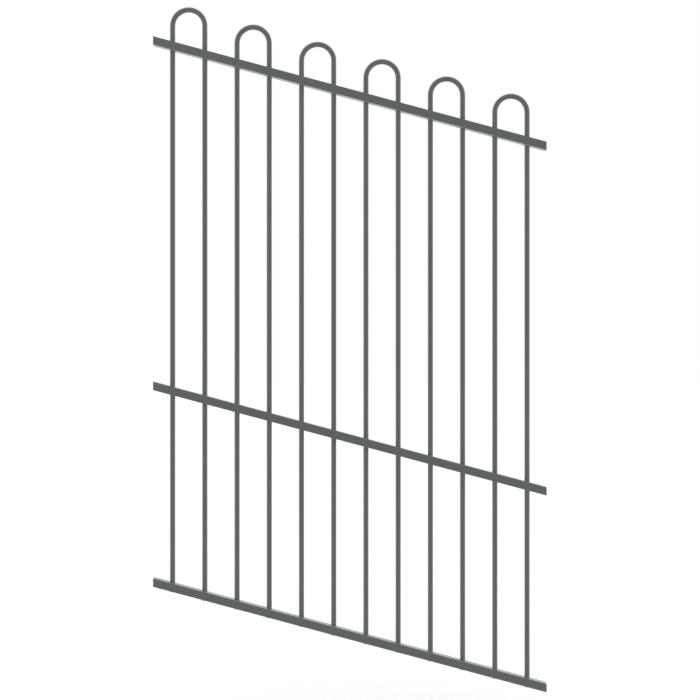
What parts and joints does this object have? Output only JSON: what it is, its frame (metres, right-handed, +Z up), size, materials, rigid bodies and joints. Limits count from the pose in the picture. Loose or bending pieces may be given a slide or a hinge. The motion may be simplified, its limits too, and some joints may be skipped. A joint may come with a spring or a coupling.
{
  "type": "raked hoop-top pool fence panel",
  "caption": "Raked aluminium pool fence panel: square rails falling along a slope, cut plumb, with upright round pickets bent over into hoops at the top.",
  "frame": {"origin": "middle of the bottom rail's uphill end, in the plane of that plumb end, halfway through the panel's thickness", "axes": "+X runs level along the panel, downhill; +Y runs away from the front, through the panel's thickness; +Z is up"},
  "size_m": [1.2, 0.025, 2.0927],
  "materials": {
    "powder_coat": "satin"
  },
  "bodies": {
    "root": {"bottom_rail": "powder_coat", "middle_rail": "powder_coat", "top_rail": "powder_coat", "hoop_1": "powder_coat", "hoop_2": "powder_coat", "hoop_3": "powder_coat", "hoop_4": "powder_coat", "hoop_5": "powder_coat", "hoop_6": "powder_coat"}
  },
  "joints": []
}
